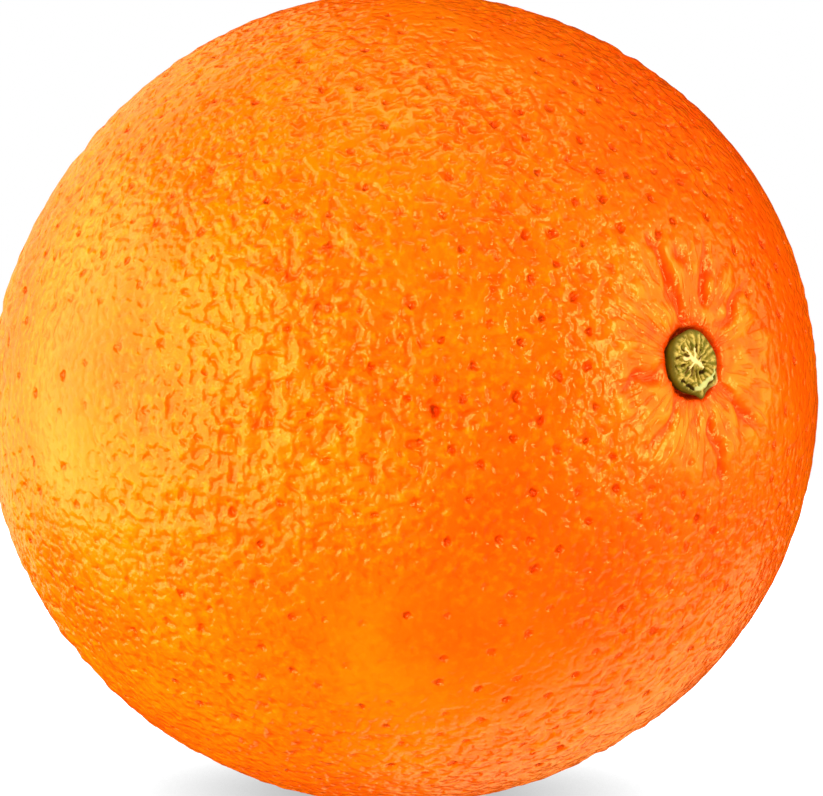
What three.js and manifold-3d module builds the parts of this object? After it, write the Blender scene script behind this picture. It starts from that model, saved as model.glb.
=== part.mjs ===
// A sweet orange as picked: the fruit, and the green calyx button that stays in its stem end.
// Millimetres, +Z up. The fruit lies on its side on a small flat spot, with its stem end towards -Y
// and tipped a little up. Shapes are made in the fruit's own frame, where +Z runs along the core
// from the fruit's centre to the stem end and +Y is the side that lies uppermost.
import * as THREE from "three";
import { mergeVertices } from "three/addons/utils/BufferGeometryUtils.js";
import Module from "manifold-3d";

// ---- The fruit's size and how it lies
const EQUATOR_RADIUS = 38;
const POLE_RADIUS = 40; // centre to the stem end, before the end sinks in
const STEM_TILT_DEG = 9; // how far the stem end is tipped up from level
const REST_SPOT_RADIUS = 6.5; // the flat spot where the fruit's weight presses the peel

// ---- The slow swellings and flats that make the outline less than round
const SWELLINGS = [
  { towards: [0.67, 0.41, 0.62], rise: 0.65 },
  { towards: [-0.6, 0.59, -0.54], rise: -1.0 },
  { towards: [-0.67, -0.41, -0.62], rise: -0.35 },
  { towards: [0.6, -0.59, 0.54], rise: 0.5 },
  { towards: [-0.75, 0.35, 0.56], rise: 0.3 },
];
const SWELLING_SHARPNESS = 6; // about 35 degrees from a swelling's middle to half its rise

// ---- The stem end: a shallow basin, a socket for the button, and furrows that run out from it
const BASIN_DEPTH = 1.5;
const BASIN_RADIUS = 6;
const BUTTON_RADIUS = 2.85;
const BUTTON_TOP = POLE_RADIUS - 0.75; // height of the button's rim along the core
const BUTTON_THICKNESS = 1.7;
const SOCKET_GAP = 0.3; // the hollow left round and under the button
const BUTTON_LOBES = 5;
const LOBE_RISE = 0.1;
const SOCKET_RADIUS = BUTTON_RADIUS + LOBE_RISE + SOCKET_GAP;
// Each furrow: angle from +X towards +Y, depth, and where it starts and ends from the core.
const FURROWS = [
  { angle: 101, depth: 0.6, start: 4.0, end: 11.0 },
  { angle: 68, depth: 0.55, start: 4.2, end: 10.5 },
  { angle: 41, depth: 0.45, start: 4.6, end: 11.0 },
  { angle: 14, depth: 0.2, start: 4.4, end: 9.5 },
  { angle: -8, depth: 0.2, start: 4.4, end: 9.5 },
  { angle: -41, depth: 0.5, start: 4.0, end: 10.5 },
  { angle: -75, depth: 0.5, start: 4.2, end: 11.0 },
  { angle: -97, depth: 0.3, start: 4.0, end: 9.0 },
  { angle: -132, depth: 0.35, start: 4.0, end: 10.0 },
  { angle: -177, depth: 0.45, start: 3.8, end: 10.0 },
  { angle: 145, depth: 0.35, start: 4.2, end: 9.5 },
];
const FURROW_WIDTH = 0.8; // from the bottom of a furrow to where it has risen by two thirds
const FURROW_RUN_IN = 2; // how far a furrow takes to reach its depth, and to fade away
const PAD_RADIUS = 10; // inside this the peel is in smooth pads between furrows, with no pits

// ---- The style's scar at the other end
const SCAR_DIMPLE_DEPTH = 0.7;
const SCAR_DIMPLE_RADIUS = 3.2;

// ---- The pits over the oil glands, larger and fewer than on a real peel
const PEEL_DIVISIONS = 22; // each icosahedron edge is cut into one more piece than this
const STEM_END_DRAW = 0.5; // share by which the mesh is drawn together at the stem end
const STEM_END_REACH = 0.5; // radians over which it is
const PIT_DEPTH = { least: 0.4, most: 0.8 };
const PIT_FREE_SPOT = 10; // no pits this near the middle of the flat spot
const VERTEX_STRAY = 0.35; // how far a corner of the mesh strays from its even spacing
const SEED = 7;

// ---- The button's face: a ring of pits and pale rays round a broken stem scar
const BUTTON_SEGMENTS = 52;
const RAYS = 13;
const RAY_RISE = 0.1;
const RAY_BAND = { middle: 1.35, halfWidth: 0.55 };
const PITH_RISE = 0.22;
const PITH_RADIUS = 0.7;
const STEM_HOLE = { x: 0.9, y: -0.85, radius: 0.42, depth: 0.55 };
const SEPAL_TIPS = [
  { angle: -78, length: 0.8, width: 1.0 },
  { angle: -38, length: 0.6, width: 1.5 },
];
const SEPAL_THICKNESS = 0.3;

const { degToRad, lerp, smoothstep } = THREE.MathUtils;
const wasm = await Module();
wasm.setup();

// A steady stream of random numbers from 0 to 1.
function randomFrom(seed) {
  let state = seed >>> 0;
  return () => {
    state = (state + 0x6d2b79f5) >>> 0;
    let t = Math.imul(state ^ (state >>> 15), 1 | state);
    t = (t + Math.imul(t ^ (t >>> 7), 61 | t)) ^ t;
    return ((t ^ (t >>> 14)) >>> 0) / 4294967296;
  };
}

function merged(geometry) {
  const bare = geometry.clone();
  bare.deleteAttribute("normal");
  bare.deleteAttribute("uv");
  return mergeVertices(bare, 1e-4);
}

function solidOf(geometry) {
  const closed = merged(geometry);
  return new wasm.Manifold(
    new wasm.Mesh({
      numProp: 3,
      vertProperties: new Float32Array(closed.attributes.position.array),
      triVerts: new Uint32Array(closed.index.array),
    }),
  );
}

function geometryOf(solid) {
  const mesh = solid.getMesh();
  const geometry = new THREE.BufferGeometry();
  geometry.setAttribute("position", new THREE.BufferAttribute(mesh.vertProperties, 3));
  geometry.setIndex(new THREE.BufferAttribute(mesh.triVerts, 1));
  geometry.computeVertexNormals();
  return geometry;
}

// ---- How the fruit lies: its own frame turned and lifted into the part's frame
const lying = new THREE.Group();
lying.rotation.x = degToRad(90 - STEM_TILT_DEG);
const down = new THREE.Vector3(0, 0, -1).applyEuler(new THREE.Euler(-lying.rotation.x, 0, 0));
// The lowest of the plump fruit, less the cap that the flat spot takes off it.
const LOWEST = Math.hypot(down.y * EQUATOR_RADIUS, down.z * POLE_RADIUS);
lying.position.z = LOWEST - REST_SPOT_RADIUS ** 2 / (2 * EQUATOR_RADIUS);

// Distance from the fruit's centre to its skin in a direction, before furrows and pits.
function plumpRadius(direction) {
  const across = Math.hypot(direction.x, direction.y);
  let radius = 1 / Math.hypot(across / EQUATOR_RADIUS, direction.z / POLE_RADIUS);
  for (const { towards, rise } of SWELLINGS) {
    const facing = direction.dot(new THREE.Vector3(...towards).normalize());
    radius += rise * Math.exp(SWELLING_SHARPNESS * (facing - 1));
  }
  const fromCore = radius * across;
  if (direction.z > 0) radius -= BASIN_DEPTH * Math.exp(-((fromCore / BASIN_RADIUS) ** 2));
  else radius -= SCAR_DIMPLE_DEPTH * Math.exp(-((fromCore / SCAR_DIMPLE_RADIUS) ** 2));
  return radius;
}

// How deep the furrows are at a point of the stem end, x and y from the core.
function furrowDepth(x, y) {
  const fromCore = Math.hypot(x, y);
  let depth = 0;
  for (const furrow of FURROWS) {
    const angle = degToRad(furrow.angle);
    const along = x * Math.cos(angle) + y * Math.sin(angle);
    const aside = y * Math.cos(angle) - x * Math.sin(angle);
    if (along < 0) continue;
    const starts = smoothstep(fromCore, furrow.start - FURROW_RUN_IN, furrow.start + FURROW_RUN_IN / 4);
    const ends = 1 - smoothstep(fromCore, furrow.end - 2 * FURROW_RUN_IN, furrow.end);
    depth += furrow.depth * starts * ends * Math.exp(-((aside / FURROW_WIDTH) ** 2));
  }
  return depth;
}

// The directions of the peel's corners: evenly spread, strayed a little, and drawn together
// towards the stem end, where the furrows need them closer.
function peelMesh(random) {
  const mesh = merged(new THREE.IcosahedronGeometry(1, PEEL_DIVISIONS));
  const position = mesh.attributes.position;
  const stray = () => ((2 * random() - 1) * VERTEX_STRAY) / EQUATOR_RADIUS;
  const shift = STEM_END_DRAW * STEM_END_REACH;
  const p = new THREE.Vector3();
  for (let i = 0; i < position.count; i++) {
    p.fromBufferAttribute(position, i);
    p.set(p.x + stray(), p.y + stray(), p.z + stray()).normalize();
    const turn = Math.atan2(p.y, p.x);
    const even = Math.acos(p.z);
    const drawn = (even - shift * (1 - Math.exp(-even / STEM_END_REACH))) * (Math.PI / (Math.PI - shift));
    const across = Math.sin(drawn);
    position.setXYZ(i, across * Math.cos(turn), across * Math.sin(turn), Math.cos(drawn));
  }
  return mesh;
}

function neighboursOf(mesh) {
  const near = Array.from({ length: mesh.attributes.position.count }, () => new Set());
  const corners = mesh.index.array;
  for (let i = 0; i < corners.length; i += 3) {
    for (let j = 0; j < 3; j++) {
      const a = corners[i + j];
      const b = corners[i + ((j + 1) % 3)];
      near[a].add(b);
      near[b].add(a);
    }
  }
  return near;
}

// The numbers below count, in a random order.
function shuffled(count, random) {
  const order = Array.from({ length: count }, (_, i) => i);
  for (let i = count - 1; i > 0; i--) {
    const j = Math.floor(random() * (i + 1));
    [order[i], order[j]] = [order[j], order[i]];
  }
  return order;
}

// The whole peel: a corner becomes the bottom of a pit where none of its neighbours is one.
function peelSolid() {
  const random = randomFrom(SEED);
  const mesh = peelMesh(random);
  const position = mesh.attributes.position;
  const near = neighboursOf(mesh);
  const pitted = new Set();
  const p = new THREE.Vector3();
  for (const i of shuffled(position.count, random)) {
    p.fromBufferAttribute(position, i);
    let radius = plumpRadius(p);
    const onStemSide = p.z > 0;
    if (onStemSide) radius -= furrowDepth(p.x * radius, p.y * radius);
    const onPads = onStemSide && radius * Math.hypot(p.x, p.y) < PAD_RADIUS;
    const onRestSpot = p.distanceTo(down) * EQUATOR_RADIUS < PIT_FREE_SPOT;
    const besidePit = [...near[i]].some((n) => pitted.has(n));
    if (!onPads && !onRestSpot && !besidePit) {
      pitted.add(i);
      radius -= lerp(PIT_DEPTH.least, PIT_DEPTH.most, random());
    }
    p.multiplyScalar(radius);
    position.setXYZ(i, p.x, p.y, p.z);
  }
  return solidOf(mesh);
}

// The space under the surface that the fruit lies on, in the fruit's own frame.
function underTheSurface() {
  const side = 4 * REST_SPOT_RADIUS;
  const slab = new THREE.BoxGeometry(side, side, side);
  slab.translate(0, 0, -side / 2);
  lying.updateMatrix();
  return solidOf(slab.applyMatrix4(lying.matrix.clone().invert()));
}

function socketSpace() {
  const bottom = BUTTON_TOP - BUTTON_THICKNESS - SOCKET_GAP;
  const height = BUTTON_THICKNESS * 2;
  const socket = new THREE.CylinderGeometry(SOCKET_RADIUS, SOCKET_RADIUS, height, BUTTON_SEGMENTS);
  socket.rotateX(Math.PI / 2);
  socket.translate(0, 0, bottom + height / 2);
  return solidOf(socket);
}

function makeFruit() {
  const solid = peelSolid().subtract(socketSpace()).subtract(underTheSurface());
  const peel = new THREE.MeshStandardMaterial({ color: 0xf57a0c, roughness: 0.42, metalness: 0 });
  const fruit = new THREE.Mesh(geometryOf(solid), peel);
  fruit.name = "orange_fruit";
  return fruit;
}

// How high the button's face stands above its rim's level at x, y from the core.
function faceRelief(x, y) {
  const fromCore = Math.hypot(x, y);
  const turn = Math.atan2(y, x);
  const inBand = Math.exp(-(((fromCore - RAY_BAND.middle) / RAY_BAND.halfWidth) ** 2));
  const rays = RAY_RISE * Math.cos(RAYS * turn) * inBand;
  const pith = PITH_RISE * Math.exp(-((fromCore / PITH_RADIUS) ** 2));
  const fromHole = Math.hypot(x - STEM_HOLE.x, y - STEM_HOLE.y);
  const hole = STEM_HOLE.depth * Math.exp(-((fromHole / STEM_HOLE.radius) ** 2));
  return rays + pith - hole;
}

function buttonProfile() {
  const bottom = BUTTON_TOP - BUTTON_THICKNESS;
  const rim = [
    [0, bottom],
    [BUTTON_RADIUS - 0.35, bottom],
    [BUTTON_RADIUS - 0.05, bottom + 0.3],
    [BUTTON_RADIUS, BUTTON_TOP - 0.6],
    [BUTTON_RADIUS - 0.1, BUTTON_TOP - 0.25],
    [BUTTON_RADIUS - 0.3, BUTTON_TOP - 0.05],
  ];
  const faceRadius = BUTTON_RADIUS - 0.55;
  const rings = 11;
  const face = Array.from({ length: rings + 1 }, (_, i) => [faceRadius * (1 - i / rings), BUTTON_TOP]);
  return [...rim, ...face].map(([x, y]) => new THREE.Vector2(x, y));
}

function buttonDisc() {
  const disc = merged(new THREE.LatheGeometry(buttonProfile(), BUTTON_SEGMENTS));
  disc.rotateX(Math.PI / 2);
  const position = disc.attributes.position;
  for (let i = 0; i < position.count; i++) {
    const x = position.getX(i);
    const y = position.getY(i);
    const z = position.getZ(i);
    const fromCore = Math.hypot(x, y);
    const bulge = Math.cos(BUTTON_LOBES * Math.atan2(y, x)) * (fromCore / BUTTON_RADIUS);
    const lobe = 1 + (LOBE_RISE / BUTTON_RADIUS) * bulge;
    const onFace = z > BUTTON_TOP - 0.01;
    position.setXYZ(i, x * lobe, y * lobe, onFace ? z + faceRelief(x, y) : z);
  }
  return solidOf(disc);
}

// One worn sepal: a thin pointed tongue that runs out over the peel from under the button's rim.
function sepalTip({ angle, length, width }) {
  const root = BUTTON_RADIUS - 1;
  const tip = BUTTON_RADIUS + length;
  const outline = new THREE.Shape();
  outline.moveTo(root, -width / 2);
  outline.quadraticCurveTo(BUTTON_RADIUS, -width / 2, tip, 0);
  outline.quadraticCurveTo(BUTTON_RADIUS, width / 2, root, width / 2);
  const tongue = new THREE.ExtrudeGeometry(outline, {
    depth: SEPAL_THICKNESS,
    bevelEnabled: false,
    curveSegments: 6,
  });
  tongue.translate(0, 0, BUTTON_TOP - 0.1 - SEPAL_THICKNESS);
  tongue.rotateZ(degToRad(angle));
  return solidOf(tongue);
}

function makeButton() {
  const solid = SEPAL_TIPS.reduce((made, tip) => made.add(sepalTip(tip)), buttonDisc());
  const calyx = new THREE.MeshStandardMaterial({ color: 0x85832c, roughness: 0.8, metalness: 0 });
  const button = new THREE.Mesh(geometryOf(solid), calyx);
  button.name = "calyx_button";
  return button;
}

lying.add(makeFruit(), makeButton());

// The origin lies under the middle of the orange, on the surface it rests on.
const middle = new THREE.Box3().setFromObject(lying, true).getCenter(new THREE.Vector3());
lying.position.x -= middle.x;
lying.position.y -= middle.y;

const orange = new THREE.Group();
orange.add(lying);
export default orange;
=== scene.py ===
# %% [markdown]
# # A sweet orange with its calyx button
# The fruit is one grown body, so its skin is one closed mesh. The dry green button in its stem end is a
# second piece. Both are made in the fruit's own frame, in millimetres: +Z runs along the core from the
# fruit's centre to the stem end, and +Y is the side that lies uppermost. A last matrix lays them down.

# %% Load the frame that the pieces have to fit
import math

import bmesh
import bpy
import numpy as np
from mathutils import Matrix, Vector, kdtree, noise


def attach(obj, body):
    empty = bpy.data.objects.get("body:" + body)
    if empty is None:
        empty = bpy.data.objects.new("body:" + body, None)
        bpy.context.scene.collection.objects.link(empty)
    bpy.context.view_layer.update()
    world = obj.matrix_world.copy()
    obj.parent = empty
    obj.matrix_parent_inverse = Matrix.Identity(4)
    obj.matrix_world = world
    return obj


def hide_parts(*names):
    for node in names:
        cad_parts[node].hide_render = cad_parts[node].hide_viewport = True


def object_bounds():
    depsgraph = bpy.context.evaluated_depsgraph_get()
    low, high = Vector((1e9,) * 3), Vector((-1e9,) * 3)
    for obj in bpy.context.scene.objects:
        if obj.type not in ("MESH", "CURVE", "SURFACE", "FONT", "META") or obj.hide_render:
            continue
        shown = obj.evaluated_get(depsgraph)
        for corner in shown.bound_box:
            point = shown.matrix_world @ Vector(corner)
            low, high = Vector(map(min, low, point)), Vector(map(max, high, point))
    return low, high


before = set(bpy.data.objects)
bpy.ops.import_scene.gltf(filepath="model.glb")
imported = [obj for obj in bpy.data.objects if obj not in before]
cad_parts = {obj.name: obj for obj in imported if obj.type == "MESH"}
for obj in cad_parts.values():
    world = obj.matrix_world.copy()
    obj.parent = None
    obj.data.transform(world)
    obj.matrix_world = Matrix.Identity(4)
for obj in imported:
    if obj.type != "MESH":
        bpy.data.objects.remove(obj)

MM = 0.001
cad_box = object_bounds()
print("CAD box, mm:", [[round(c / MM, 2) for c in corner] for corner in cad_box])

# %% [markdown]
# ## How the fruit lies
# A free orange settles on its side, because the stem end and the far end are its most curved places.
# The core is tipped up by a few degrees, and the weight presses a small flat spot into the peel.

# %% Sizes of the plump fruit, and the matrix that lays it down
EQUATOR_RADIUS = 38
POLE_RADIUS = 40
STEM_TILT = math.radians(9)
REST_SPOT_RADIUS = 6.5
lean = Matrix.Rotation(math.radians(90) - STEM_TILT, 4, "X")
down = np.array(lean.inverted().to_3x3() @ Vector((0, 0, -1)))
centre_height = (
    math.hypot(down[1] * EQUATOR_RADIUS, down[2] * POLE_RADIUS)
    - REST_SPOT_RADIUS ** 2 / (2 * EQUATOR_RADIUS)
)
print("fruit's centre stands", round(centre_height, 2), "mm over the surface")

# %% [markdown]
# ## Camera
# A long lens from near the table's height, to the left of the stem end. The camera comes early,
# because the lights are placed round its line of sight.

# %% Camera
CAMERA_AZIMUTH = math.radians(-42.7)
CAMERA_ELEVATION = math.radians(6)
CAMERA_DISTANCE = 430 * MM
LENS = 200.8
SENSOR_WIDTH = 36
AIM_ASIDE = 1.43 * MM
NEAREST_SEEN = 0.01
FARTHEST_SEEN = 20
fruit_centre = Vector((0, 0, centre_height * MM))


def seen_from(azimuth, elevation):
    """The unit vector from the fruit towards a place round it; azimuth 0 is the -Y side."""
    level = math.cos(elevation)
    return Vector((math.sin(azimuth) * level, -math.cos(azimuth) * level, math.sin(elevation)))


camera = bpy.data.objects.new("camera", bpy.data.cameras.new("camera"))
bpy.context.scene.collection.objects.link(camera)
camera.data.lens = LENS
camera.data.sensor_width = SENSOR_WIDTH
back = seen_from(CAMERA_AZIMUTH, CAMERA_ELEVATION)
rightwards = Vector((math.cos(CAMERA_AZIMUTH), math.sin(CAMERA_AZIMUTH), 0))
camera.location = fruit_centre + back * CAMERA_DISTANCE
aim = fruit_centre + rightwards * AIM_ASIDE - camera.location
camera.rotation_mode = "QUATERNION"
camera.rotation_quaternion = aim.to_track_quat("-Z", "Y")
camera.data.clip_start = NEAREST_SEEN
camera.data.clip_end = FARTHEST_SEEN
bpy.context.scene.camera = camera
print("camera at", [round(c, 3) for c in camera.location])

# %% [markdown]
# ## The plump shape
# An orange is a little longer along its core than it is wide, with slow swellings and flats where it
# grew against leaves and branches. Each swelling is a soft bump in one direction. The stem end sinks
# in round the button, and the far end has a small dimple. The solid follows the same formulas, so the
# skin and the solid agree, and the skin stays just inside it.

# %% Radius of the skin before its relief
SKIN_INSET = 0.06
SWELLINGS = (  # direction in the fruit's frame, rise in mm
    ((0.67, 0.41, 0.62), 0.65),
    ((-0.6, 0.59, -0.54), -1.0),
    ((-0.67, -0.41, -0.62), -0.35),
    ((0.6, -0.59, 0.54), 0.5),
    ((-0.75, 0.35, 0.56), 0.3),
)
SWELLING_SHARPNESS = 6
BASIN_DEPTH = 1.5
BASIN_RADIUS = 6
SCAR_DIMPLE_DEPTH = 0.7
SCAR_DIMPLE_RADIUS = 3.2


def bell(distance, radius):
    """One at no distance, a third at the radius, and nothing far away."""
    return np.exp(-((distance / radius) ** 2))


def ramp(value, start, end):
    """Rises smoothly from 0 at the start to 1 at the end."""
    t = np.clip((value - start) / (end - start), 0, 1)
    return t * t * (3 - 2 * t)


def plump_radius(way):
    """Distance in mm from the fruit's centre to its skin along each unit vector."""
    across = np.hypot(way[:, 0], way[:, 1])
    radius = 1 / np.hypot(across / EQUATOR_RADIUS, way[:, 2] / POLE_RADIUS)
    for towards, rise in SWELLINGS:
        facing = way @ np.array(Vector(towards).normalized())
        radius = radius + rise * np.exp(SWELLING_SHARPNESS * (facing - 1))
    from_core = radius * across
    basin = BASIN_DEPTH * bell(from_core, BASIN_RADIUS)
    dimple = SCAR_DIMPLE_DEPTH * bell(from_core, SCAR_DIMPLE_RADIUS)
    return radius - SKIN_INSET - np.where(way[:, 2] > 0, basin, dimple)


# %% [markdown]
# ## A ball of even squares
# A sphere from rings and segments crowds its faces at the poles, just where the button sits. A cube
# cut into a grid and blown up has faces of nearly one size all over. Its lines are spaced by equal
# angles, and drawn together a little at the stem end, where the finest folds are.

# %% The ball, and the directions of its corners
BALL_CUTS = 128
STEM_END_DRAW = 0.35
STEM_END_REACH = 0.5


def blown_up_cube(cuts):
    """A bmesh ball of radius 1 made of six grids."""
    ball = bmesh.new()
    bmesh.ops.create_cube(ball, size=2)
    bmesh.ops.subdivide_edges(ball, edges=ball.edges, cuts=cuts, use_grid_fill=True)
    for corner in ball.verts:
        corner.co = Vector([math.tan(c * math.pi / 4) for c in corner.co]).normalized()
    return ball


def drawn_to_stem_end(way):
    """Turns each unit vector towards +Z, most of all near it."""
    polar = np.arccos(np.clip(way[:, 2], -1, 1))
    turn = np.arctan2(way[:, 1], way[:, 0])
    shift = STEM_END_DRAW * STEM_END_REACH
    drawn = (polar - shift * (1 - np.exp(-polar / STEM_END_REACH))) * math.pi / (math.pi - shift)
    return np.stack([np.sin(drawn) * np.cos(turn), np.sin(drawn) * np.sin(turn), np.cos(drawn)], 1)


skin = blown_up_cube(BALL_CUTS)
way = drawn_to_stem_end(np.array([corner.co for corner in skin.verts]))
radius = plump_radius(way)
plump = way * radius[:, None]
print("ball:", len(skin.verts), "corners,", 2 * len(skin.faces), "triangles")

# %% [markdown]
# ## Furrows and pads at the stem end
# The fruit grows faster than its stem, so the peel gathers round the button in smooth pads with
# furrows between them, as a cloth does round a drawstring. Each furrow is a groove along a ray from
# the core, bent a little by noise so that it isn't ruled straight. Its section is a narrow cut in a
# wide hollow.

# %% Furrows
FURROWS = (  # angle from +X towards +Y in degrees, depth, start and end from the core in mm
    (104, 0.7, 4.8, 13.5),
    (90, 0.3, 8.6, 13.0),
    (69, 0.65, 5.6, 13.5),
    (40, 0.6, 5.8, 12.5),
    (14, 0.16, 5.0, 10.5),
    (-8, 0.14, 5.0, 10.5),
    (-39, 0.6, 4.6, 11.5),
    (-75, 0.65, 5.2, 13.0),
    (-97, 0.3, 5.4, 9.0),
    (-130, 0.45, 5.0, 11.5),
    (-172, 0.5, 4.8, 11.0),
    (150, 0.35, 4.8, 9.0),
)
CUT_WIDTH = 0.42
CUT_SHARE = 0.7
HOLLOW_WIDTH = 1.2
FURROW_RUN_IN = 2
FURROW_WANDER = 1.1
WANDER_SIZE = 2.2
STEM_END_RADIUS = 16
NOISE_SHIFT = (17.3, 5.1, 9.7)


def grain(points, size, seed):
    """Smooth noise from about -1 to 1 whose lumps are the given size in mm; each seed has its own."""
    aside = Vector([seed * c for c in NOISE_SHIFT])
    return np.array([noise.noise(Vector(p) / size + aside) for p in points])


def furrow_depth(points):
    """Depth in mm of the furrows at each point of the stem end."""
    x = points[:, 0] + FURROW_WANDER * grain(points, WANDER_SIZE, seed=1)
    y = points[:, 1] + FURROW_WANDER * grain(points, WANDER_SIZE, seed=2)
    from_core = np.hypot(x, y)
    depth = np.zeros(len(points))
    for degrees, deepest, start, end in FURROWS:
        angle = math.radians(degrees)
        along = x * math.cos(angle) + y * math.sin(angle)
        aside = y * math.cos(angle) - x * math.sin(angle)
        run = ramp(from_core, start - FURROW_RUN_IN, start + FURROW_RUN_IN / 4)
        run = run * (1 - ramp(from_core, end - 2 * FURROW_RUN_IN, end))
        groove = CUT_SHARE * bell(aside, CUT_WIDTH) + (1 - CUT_SHARE) * bell(aside, HOLLOW_WIDTH)
        depth += np.where(along > 0, deepest * run * groove, 0)
    return depth


from_core = np.hypot(plump[:, 0], plump[:, 1])
stem_side = plump[:, 2] > 0
near_stem = np.where(stem_side & (from_core < STEM_END_RADIUS))[0]
furrow = np.zeros(len(plump))
furrow[near_stem] = furrow_depth(plump[near_stem])
print("deepest furrow, mm:", round(furrow.max(), 2))

# %% [markdown]
# The pads are swollen and nearly free of dents. Their outer edge strays in and out, and two sizes of
# noise puff them up. At the far end of the core, the style that once stood on the flower has left a
# small round scar.

# %% Pads and the style's scar
PAD_RADIUS = 10.5
PAD_EDGE = 2
PAD_STRAY = 2.8
PAD_STRAY_SIZE = 3.5
PUFF_SIZE = 1.6
WIDE_PUFF_SIZE = 3.2
WIDE_PUFF_SHARE = 0.5
SCAR_RADIUS = 1.2
SCAR_DEPTH = 0.35
SCAR_EDGE = 0.4
SCAR_STRAY = 0.4
SCAR_STRAY_SIZE = 0.9

stem_end = plump[near_stem]
pads = np.zeros(len(plump))
puff = np.zeros(len(plump))
pad_edge = from_core[near_stem] + PAD_STRAY * grain(stem_end, PAD_STRAY_SIZE, seed=8)
pads[near_stem] = 1 - ramp(pad_edge, PAD_RADIUS - PAD_EDGE, PAD_RADIUS + PAD_EDGE)
puff[near_stem] = grain(stem_end, PUFF_SIZE, seed=7)
puff[near_stem] += WIDE_PUFF_SHARE * grain(stem_end, WIDE_PUFF_SIZE, seed=9)
scar_edge = from_core + SCAR_STRAY * grain(plump, SCAR_STRAY_SIZE, seed=10)
scar = 1 - ramp(scar_edge, SCAR_RADIUS - SCAR_EDGE, SCAR_RADIUS + SCAR_EDGE)
scar = np.where(stem_side, 0, scar)
print("corners on the pads:", int(np.sum(pads > 0.5)), "and on the scar:", int(np.sum(scar > 0.5)))

# %% [markdown]
# ## Soft patches
# No orange is even all over: it is rougher on one cheek and smoother on another, and redder in
# patches on the side away from the main lamp, partly riper peel and partly painted shade. Such a
# change has no edge, so it is a soft round patch, given by a direction from the fruit's centre, a
# reach as an angle and a strength. Patches of one kind add up.

# %% Patches
DEEP_PIT_PATCHES = (  # direction in the fruit's frame, reach in radians, strength
    ((-0.43, 0.0, 0.9), 0.3, 0.5),
    ((-0.2, 0.1, 0.97), 0.3, 0.3),
    ((0.0, 0.4, 0.92), 0.35, 0.5),
)
FAINT_PIT_PATCHES = (
    ((-0.97, 0.0, 0.2), 0.5, 0.4),
)
PEBBLED_PATCHES = (
    ((-0.8, 0.05, 0.6), 0.36, 0.5),
    ((-0.41, -0.11, 0.91), 0.3, 0.15),
    ((-0.35, 0.35, 0.87), 0.35, 0.15),
    ((0.7, 0.5, -0.4), 0.5, 0.6),
    ((0.2, -0.5, -0.8), 0.4, 0.5),
)
SMOOTH_PATCHES = (
    ((-0.45, -0.6, 0.66), 0.3, 0.85),
    ((-1.0, 0.05, -0.05), 0.3, 0.5),
    ((0.42, 0.3, 0.86), 0.2, 0.4),
    ((0.35, -0.15, 0.92), 0.3, 0.4),
    ((0.8, -0.5, 0.3), 0.35, 0.6),
    ((0.95, 0.3, 0.1), 0.4, 0.5),
)
# Redder patches on the side away from the main lamp: partly riper peel, partly painted shade.
RIPE_AND_SHADE_PATCHES = (
    ((-0.47, -0.22, 0.86), 0.22, 0.5),
    ((-0.2, -0.5, 0.84), 0.35, 0.45),
    ((0.42, 0.3, 0.87), 0.3, 0.5),
    ((0.2, -0.38, 0.9), 0.3, 0.4),
    ((0.31, 0.7, 0.64), 0.3, 0.55),
)


def patch_strength(ways, patches):
    """The sum of the patches in the direction of each unit vector."""
    total = np.zeros(len(ways))
    for towards, reach, strength in patches:
        apart = np.arccos(np.clip(ways @ np.array(Vector(towards).normalized()), -1, 1))
        total += strength * bell(apart, reach)
    return total


ripe_and_shade = patch_strength(way, RIPE_AND_SHADE_PATCHES)
print("strongest share of red:", round(float(ripe_and_shade.max()), 2))

# %% [markdown]
# ## Pits over the oil glands
# Each pit is a gland whose roof has sunk. They keep their distance from each other, so they are dealt
# one by one, and a place too near an earlier pit is passed over. A pit is a wide saucer, which the
# mesh can show, with a narrow steep middle, which is finer than the mesh. So each corner stores its
# way to the nearest pit, measured in pit radii, and the material draws the middle from that. No two
# pits are equally strong. They are deeper in a few patches, and fainter in one.

# %% Deal the pits
SEED = 11
PIT_SPACING = 2.6
PIT_TRIES = 14000
PIT_RADIUS = (0.3, 0.44)
PIT_STRENGTH = (0.3, 1)
PIT_FAINTNESS = 1.5
FAINTEST_PIT = 0.12
deal = np.random.default_rng(SEED)


def dealt_pits():
    """Middles of the pits, as points of the plump skin."""
    tries = deal.normal(size=(PIT_TRIES, 3))
    tries = tries / np.linalg.norm(tries, axis=1)[:, None]
    tries = tries * plump_radius(tries)[:, None]
    kept = np.empty((0, 3))
    for place in tries:
        if len(kept) == 0 or np.min(np.sum((kept - place) ** 2, 1)) > PIT_SPACING ** 2:
            kept = np.vstack([kept, place])
    return kept


pits = dealt_pits()
pit_size = deal.uniform(*PIT_RADIUS, len(pits))
pit_ways = pits / np.linalg.norm(pits, axis=1)[:, None]
pit_strength = deal.uniform(*PIT_STRENGTH, len(pits)) ** PIT_FAINTNESS
pit_strength += patch_strength(pit_ways, DEEP_PIT_PATCHES)
pit_strength -= patch_strength(pit_ways, FAINT_PIT_PATCHES)
pit_strength = np.clip(pit_strength, FAINTEST_PIT, 1)
skin_area = 4 * math.pi * np.mean(radius ** 2)
print(len(pits), "pits, one to every", round(skin_area / len(pits), 1), "square mm")

# %% Find each corner's nearest pit
finder = kdtree.KDTree(len(pits))
for number, place in enumerate(pits):
    finder.insert(place, number)
finder.balance()
nearest = np.array([finder.find(p)[1] for p in plump])
to_pit = plump - pits[nearest]
pit_distance = np.linalg.norm(to_pit, axis=1)
strength_here = pit_strength[nearest]
print("farthest that a corner lies from a pit, mm:", round(pit_distance.max(), 2))

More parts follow.
